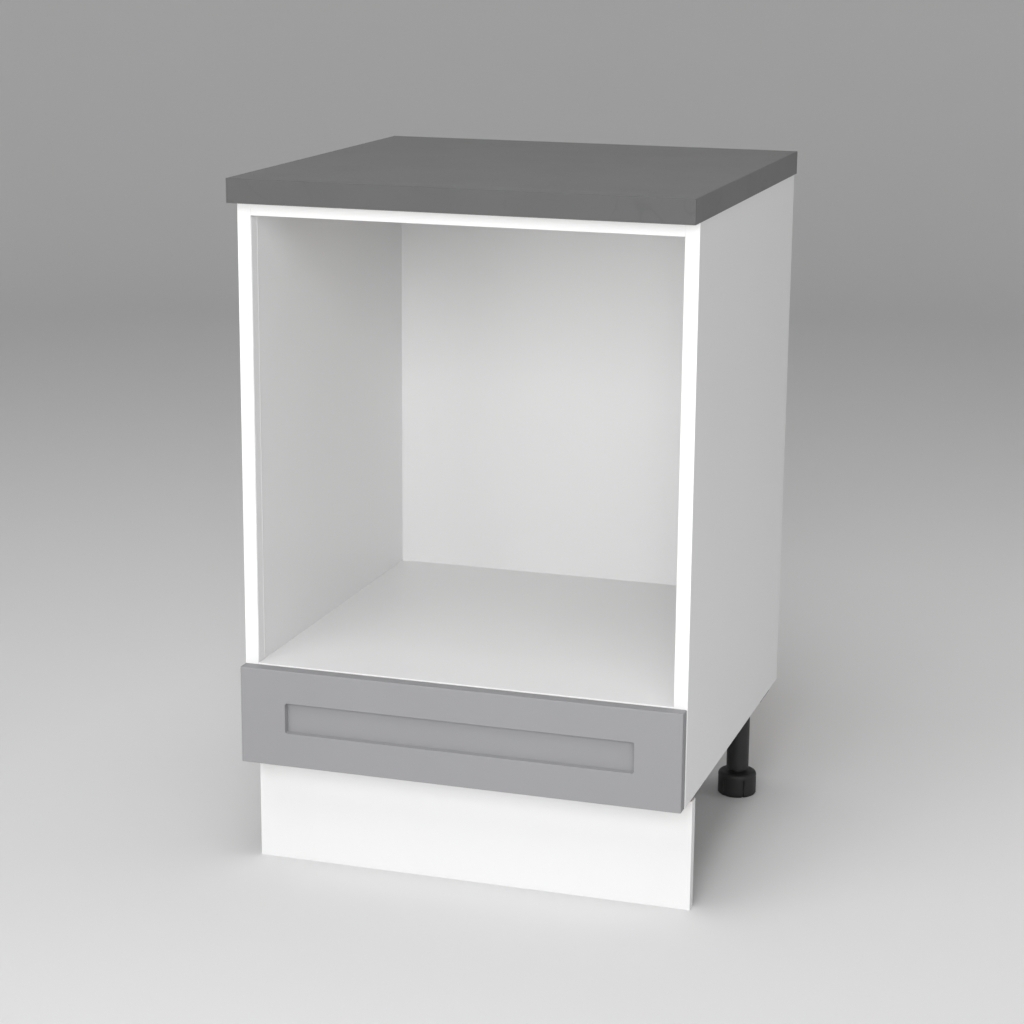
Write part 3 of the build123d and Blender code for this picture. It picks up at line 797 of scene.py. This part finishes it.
sheet, bend_inside = 0.0012, 0.0008
drawer_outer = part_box("drawer_side_right")[1].x
coated_steel = finish("coated_steel", coated_steel_sockets, Coat_Weight=0.15)
nylon = finish("nylon", nylon_sockets)
web_screws_along = (-0.233, -0.009, 0.196)
under_screws_along, under_screw_across = (-0.235, -0.02, 0.185), 0.262
under_screw_radii = (0.0034, 0.0017)
for side, inward in (("left", 1), ("right", -1)):
    for end in ("front", "rear"):
        node = end + "_roller_" + side
        piece("roller_" + end + "_" + side, [roller_shell(node)], node + "_body", nylon, [node])
    front_low, front_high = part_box("front_roller_" + side)
    rear_low, rear_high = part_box("rear_roller_" + side)
    wall = -inward * panel_low.x
    drawer_wall = -inward * drawer_outer
    front_centre, rear_centre = (front_low + front_high) / 2, (rear_low + rear_high) / 2
    cabinet_pin = pin_shell((wall, front_centre.y, front_centre.z), (inward, 0, 0))
    drawer_pin = pin_shell((drawer_wall, rear_centre.y, rear_centre.z), (-inward, 0, 0))
    piece("pin_front_" + side, [cabinet_pin], "cabinet", zinc, ["cabinet_roller_pins"])
    piece("pin_rear_" + side, [drawer_pin], "drawer", zinc, ["drawer_roller_pins"])
    track, slide = "cabinet_track_" + side, "drawer_slide_" + side
    piece("track_" + side, track_shells(side), "cabinet", coated_steel, [track])
    piece("slide_" + side, [slide_shell(side)], "drawer", coated_steel, [slide])
    track_low, track_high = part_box(track)
    web_face = wall + inward * sheet
    middle = (track_low.z + track_high.z) / 2
    web_screws = [flat_screw_shell((web_face, y, middle), (inward, 0, 0)) for y in web_screws_along]
    piece("track_screws_" + side, web_screws, "cabinet", zinc)
    slide_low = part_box(slide)[0]
    under_places = [(-inward * under_screw_across, y, slide_low.z) for y in under_screws_along]
    under_screws = [screw_shell(*under_screw_radii, place, (0, 0, -1)) for place in under_places]
    piece("slide_screws_" + side, under_screws, "drawer", zinc)


# Drawer front: one fibreboard, milled to a shaker frame with a sunk field, every outer edge rounded,
# and wrapped in matt grey foil; its back is plain white. It is dowelled and glued to the drawer sides.


def front_shell():
    """Rounded rectangles from the back outline round to the field's floor, as one closed skin.

    Outer edges: a quarter circle, small behind and larger in front. Field: a quarter circle over the
    rim, a straight wall that leans in on its way down, as a foil needs, and a small hollow quarter
    circle onto the floor.
    """
    low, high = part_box("drawer_front")
    centre, half = (low + high) / 2, (high - low) / 2
    back_edge, edge = 0.0006, 0.0015
    quarter = np.linspace(0.0, math.pi / 2, 7)
    shrink = np.concatenate([back_edge * (1 - np.sin(quarter)), edge * (1 - np.cos(quarter))])
    back_depth = half.y - back_edge * (1 - np.cos(quarter))
    depth = np.concatenate([back_depth, edge * (1 - np.sin(quarter)) - half.y])
    field_x, field_low, field_high = 0.2357, 0.1996, 0.2407
    rim, root, sunk, lean = 0.0008, 0.0005, 0.0085, 0.0010
    outer_corner, field_corner = 0.0012, 0.0026
    wall_in = np.concatenate([-rim * (1 - np.sin(quarter)), lean + root * (1 - np.cos(quarter))])
    wall_deep = np.concatenate([rim * (1 - np.cos(quarter)), sunk - root * (1 - np.sin(quarter))])
    outer_halves = np.stack([half.x - shrink, half.z - shrink], -1)
    field_half = np.array([field_x, (field_high - field_low) / 2])
    field_halves = field_half - wall_in[:, None]
    field_rise = (field_high + field_low) / 2 - centre.z
    halves = np.concatenate([outer_halves, field_halves])
    corners = np.concatenate([np.full(len(shrink), outer_corner), field_corner - wall_in])
    heights = np.concatenate([depth, -half.y + wall_deep])
    flat = rounded_rings(np.zeros(3), halves, corners, -heights)
    lift = np.concatenate([np.zeros(len(shrink)), np.full(len(wall_in), field_rise)])
    x, z, y = flat[..., 0], flat[..., 1] + lift[:, None], -flat[..., 2]
    return np.array(centre) + np.stack([x, y, z], -1)


def front_sockets(start, at):
    """Matt grey foil with a barely seen fine grain in front, plain white behind."""
    colour = white_face(at)[0]
    grain = at.noise(1100.0, 3.0, 0.6)
    back = facing(start)[1] > 0.5
    foil = at.noise(9.0, 3.0).blend(grey(0.289, 0.009), grey(0.301, 0.009))
    return {
        "Base Color": back.blend(foil, colour),
        "Roughness": 0.52 + grain * 0.10 - back * 0.15,
        "Normal": grain.relief(0.00003),
    }


front_foil = finish("front_foil", front_sockets, Specular_IOR_Level=0.15)
piece("drawer_front_milled", [front_shell()], "drawer", front_foil, ["drawer_front"])
bumper_finish = finish("bumper", nylon_sockets)
front_low, front_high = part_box("drawer_front")
bumper_across, bumper_inset = 0.2895, 0.009
bumper_radius, bumper_rise, bumper_sunk = 0.0040, 0.0013, 0.0002
arc = np.linspace(0.0, math.pi / 2, 7)[:-1]
bumper_outline = (
    np.concatenate([[bumper_radius / 2, bumper_radius], bumper_radius * np.cos(arc)]),
    np.concatenate([[-bumper_sunk, -bumper_sunk], bumper_rise * np.sin(arc)]),
)
bumpers = []
for x in (-bumper_across, bumper_across):
    for z in (front_low.z + bumper_inset, front_high.z - bumper_inset):
        bumpers.append(turned(bumper_outline, around(40), (x, front_high.y, z), (0, 1, 0)))
piece("drawer_bumpers", bumpers, "drawer", bumper_finish)


# Drawer box: 16 mm white melamine sides and back, edged on top and bare below and at the rear ends,
# and a 3 mm floor, white above, in grooves on all four sides. Screws through the sides hold the back.


def bare_below_and_rear(x, y, z):
    return (y > 0.5).either(z < -0.5)


def bare_below(x, y, z):
    return z < -0.5


def upper_face(x, y, z):
    return z > 0.5


drawer_board = finish("white_melamine_drawer_side", board_sockets(bare_below_and_rear, (2.6, 1.0, 1.0)))
dress(drawer_board, "drawer_side_left", "drawer_side_right")
dress(finish("white_melamine_drawer_back", board_sockets(bare_below, (1.0, 2.6, 1.0))), "drawer_back")
dress(finish("white_drawer_floor", hardboard_sockets(upper_face)), "drawer_floor")
back_low, back_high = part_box("drawer_back")
box_screw_radii, box_screw_heights = (0.0034, 0.0018), (0.2125, 0.2385)
box_screws = []
for side in (-1, 1):
    for z in box_screw_heights:
        place = (side * drawer_outer, (back_low.y + back_high.y) / 2, z)
        box_screws.append(screw_shell(*box_screw_radii, place, (side, 0, 0)))
piece("drawer_back_screws", box_screws, "drawer", zinc)


# Plinth: a white melamine board that stands on the floor, with eased edges. Two black moulded clips
# are screwed to its back and snap round the front legs' tubes.


def plinth_sockets(start, at):
    """White melamine all round, its edges banded like the faces."""
    colour, cloud, peel = white_face(at)
    return {"Base Color": colour, "Roughness": 0.32 + cloud * 0.08, "Normal": peel.relief(0.00002)}


plinth_low, plinth_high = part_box("plinth")
plinth_finish = finish("white_plinth", plinth_sockets)
plinth_arris, clip_arris = 0.0005, 0.0006
plinth_made = board_shell(plinth_low, plinth_high, plinth_arris)
piece("plinth_board_banded", [plinth_made], "plinth_board", plinth_finish, ["plinth"])
clip_low, clip_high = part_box("plinth_clips")
leg_front = (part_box("leg_tube_front_right")[0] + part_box("leg_tube_front_right")[1]) / 2
jaw_rise, clip_middle = 0.007, (clip_low.z + clip_high.z) / 2
seat_radius, jaw_half, base_half, base_thickness = 0.0163, 0.0193, 0.018, 0.003
base_back = clip_low.y + base_thickness


def jaw_section(x):
    """The jaw seen from above: a block with rounded tips, open at the back, its seat an arc about the
    tube's centre that runs out straight to the mouth."""
    tip = 0.0010
    back, seat = clip_high.y, np.linspace(0.0, -math.pi, 49)
    bend = np.linspace(0.0, math.pi / 2, 5)
    right_tip = np.stack([jaw_half - tip + tip * np.cos(bend), back - tip + tip * np.sin(bend)], -1)
    inner_tip = np.stack([seat_radius + tip - tip * np.sin(bend), back - tip + tip * np.cos(bend)], -1)
    arc = np.stack([seat_radius * np.cos(seat), leg_front.y + seat_radius * np.sin(seat)], -1)
    half = np.concatenate([[[jaw_half, clip_low.y]], right_tip, inner_tip])
    other = half[::-1] * (-1, 1)
    return np.concatenate([half, arc, other]) + (x, 0)


clip_screw_radii, clip_screw_rise = (0.0032, 0.0016), 0.0145
clip_screws = []
for side, x in (("left", -leg_front.x), ("right", leg_front.x)):
    jaw = carried(jaw_section(x), 2, [clip_middle - jaw_rise, clip_middle + jaw_rise])
    base_low = (x - base_half, clip_low.y, clip_low.z)
    base = board_shell(base_low, (x + base_half, base_back, clip_high.z), clip_arris)
    name = "plinth_clip_" + side
    piece(name, [jaw, base], "plinth_board", black_plastic, ["plinth_clips"])
    for z in (clip_middle - clip_screw_rise, clip_middle + clip_screw_rise):
        clip_screws.append(screw_shell(*clip_screw_radii, (x, base_back, z), (0, 1, 0)))
piece("plinth_clip_screws", clip_screws, "plinth_board", zinc)


# Stage and light: a plain pale bowl, large soft lights from the front and from overhead, and an even
# pale surround. Their powers were fitted to the photograph's tones.
stage_floor_radius, stage_wall_radius, stage_height = 4.5, 6.5, 6.0
sweep = np.linspace(0.0, math.pi / 2, 13)
bend = stage_wall_radius - stage_floor_radius
stage_r = [0.01, 1.0, 3.0, *(stage_floor_radius + bend * np.sin(sweep)), stage_wall_radius]
stage_z = [0.0, 0.0, 0.0, *(bend * (1 - np.cos(sweep))), stage_height]


def stage_sockets(start, at):
    """Matt pale paint with a hardly seen unevenness."""
    return {"Base Color": at.noise(3.0, 2.0).blend(grey(0.815), grey(0.825))}


bowl = turned((stage_r, stage_z), around(96), (0, 0, 0))
bowl_index = np.arange(bowl.shape[0] * 96).reshape(-1, 96)
bowl_low, bowl_high = bowl_index[:-1], bowl_index[1:]
bowl_faces = np.stack([bowl_low, bowl_high, np.roll(bowl_high, -1, 1), np.roll(bowl_low, -1, 1)], -1)
bowl_mesh = bpy.data.meshes.new("stage")
bowl_skin = bowl_faces.reshape(-1, 4).tolist() + [bowl_index[0].tolist()]
bowl_mesh.from_pydata(bowl.reshape(-1, 3), [], bowl_skin)
bowl_mesh.shade_smooth()
bowl_mesh.materials.append(finish("stage", stage_sockets, Roughness=0.9))
stage = bpy.data.objects.new("stage", bowl_mesh)
bpy.context.scene.collection.objects.link(stage)


def soft_light(name, place, target, size, power, receivers=None):
    """A square area light that looks at a point, and lights only the receivers where they are given."""
    data = bpy.data.lights.new(name, "AREA")
    data.size = size
    data.energy = power
    made = bpy.data.objects.new(name, data)
    bpy.context.scene.collection.objects.link(made)
    made.location = place
    made.rotation_euler = (Vector(target) - Vector(place)).to_track_quat("-Z", "Y").to_euler()
    made.visible_camera = False
    made.light_linking.receiver_collection = receivers
    return made


cabinet_alone = bpy.data.collections.new("cabinet_alone")
cabinet_alone.objects.link(stage)
cabinet_alone.collection_objects[0].light_linking.link_state = "EXCLUDE"
soft_light("light_front", (0.6, -4.2, 2.0), (0.0, 0.0, 0.5), 2.0, 81.0)
soft_light("light_low_left", (-1.8, -3.9, 0.9), (0.0, 0.0, 0.4), 1.6, 25.0, cabinet_alone)
soft_light("light_mid_right", (2.4, -3.6, 2.0), (0.0, 0.0, 0.5), 2.0, 37.0, cabinet_alone)
soft_light("light_right", (4.2, 0.8, 1.6), (0.0, 0.0, 0.5), 2.0, 15.0)
soft_light("light_left_high", (-1.6, -2.6, 4.2), (0.0, 0.0, 0.5), 2.0, 17.5)
soft_light("light_top_front", (0.0, -2.4, 4.4), (0.0, -1.0, 0.0), 2.5, 57.0)
soft_light("light_top", (0.0, 0.0, 4.4), (0.0, 0.0, 0.0), 3.0, 45.0)
world = bpy.data.worlds.new("studio")
world.use_nodes = True
world.node_tree.nodes["Background"].inputs["Color"].default_value = (1.0, 1.0, 1.0, 1.0)
world.node_tree.nodes["Background"].inputs["Strength"].default_value = 0.102
bpy.context.scene.world = world
bpy.context.scene.view_settings.view_transform = "Standard"
